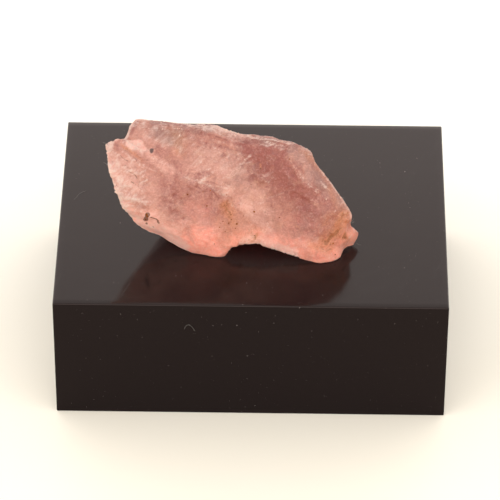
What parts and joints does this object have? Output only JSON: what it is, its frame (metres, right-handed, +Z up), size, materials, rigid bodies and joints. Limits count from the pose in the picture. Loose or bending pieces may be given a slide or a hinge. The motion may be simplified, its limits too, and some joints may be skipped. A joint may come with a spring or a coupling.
{
  "type": "rough fluorite specimen on a display block",
  "caption": "Rough rose fluorite fragment with broken, glassy to frosted faces, resting on a polished black rectangular display block.",
  "frame": {"origin": "middle of the display block's underside", "axes": "+Z up, +X along the block's long side, -Y towards the side that the stone's broad broken face looks to"},
  "size_m": [0.04, 0.03, 0.0272],
  "materials": {
    "black_acrylic": "polished black, with fine dust and hairline scratches",
    "rose_fluorite": "translucent rose mineral, broken faces from glassy to frosted, brown specks and stains"
  },
  "bodies": {
    "root": {"display_block": "black_acrylic", "fluorite": "rose_fluorite"}
  },
  "joints": []
}
